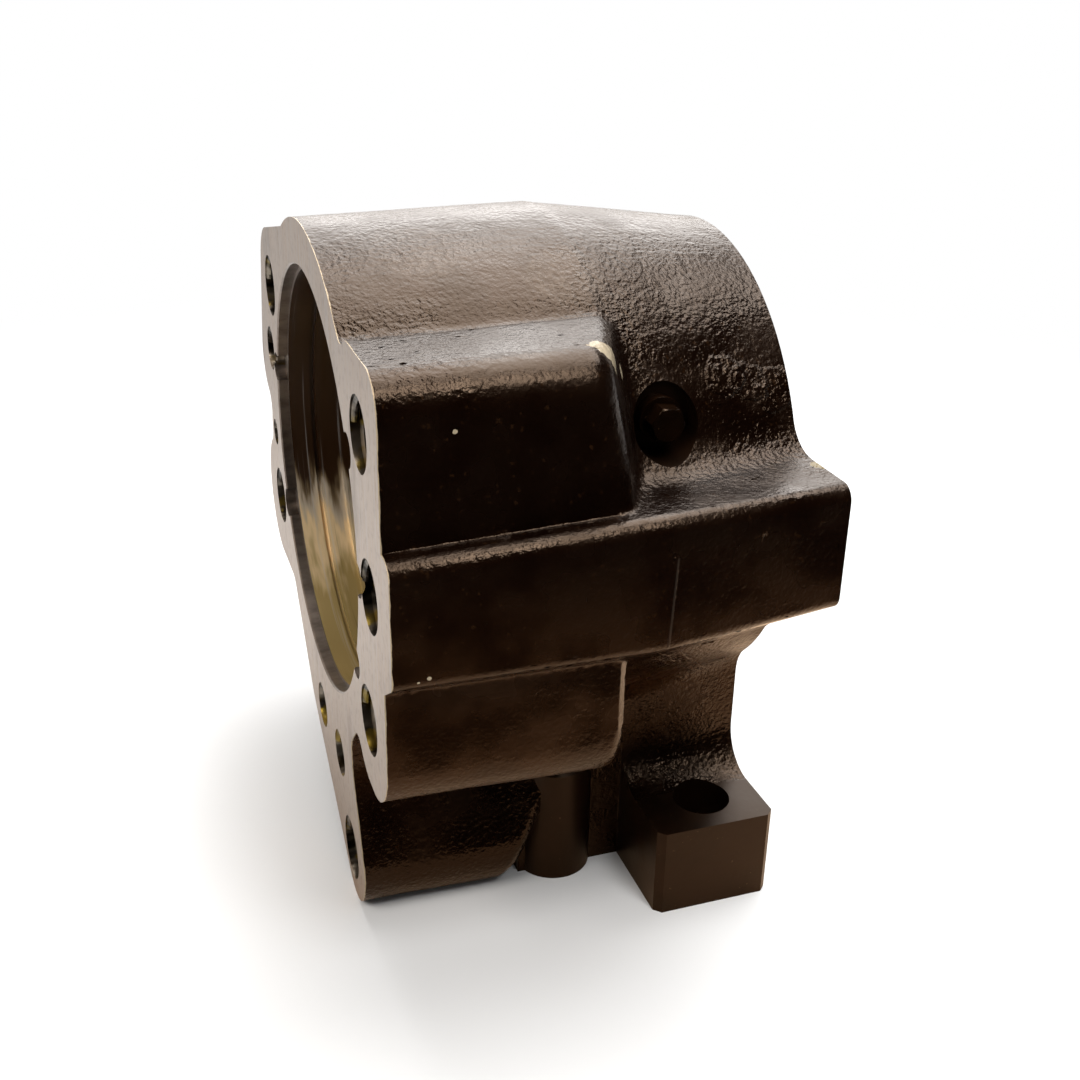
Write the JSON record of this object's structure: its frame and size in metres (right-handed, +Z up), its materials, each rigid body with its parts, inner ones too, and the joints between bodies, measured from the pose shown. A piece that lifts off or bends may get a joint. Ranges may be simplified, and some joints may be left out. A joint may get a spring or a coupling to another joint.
{
  "type": "gearbox housing",
  "caption": "Cast iron gearbox housing with a machined front flange, a stepped main bore, a side rib box with a screw plug, and two bolt-down feet at the rear.",
  "frame": {"origin": "centre of the main bore in the plane of the machined front face", "axes": "+X along the bore from the front face to the rear, +Z up, and the side with the plug faces -Y"},
  "size_m": [0.14, 0.2285, 0.2294],
  "materials": {
    "casting": "sand cast, dark brown-black paint outside, machined faces bare",
    "plug": "steel plug painted over with the casting",
    "seal": "soft metal washer, painted over"
  },
  "bodies": {
    "root": {"housing": "casting", "side_plug": "plug", "plug_seal": "seal"}
  },
  "joints": []
}
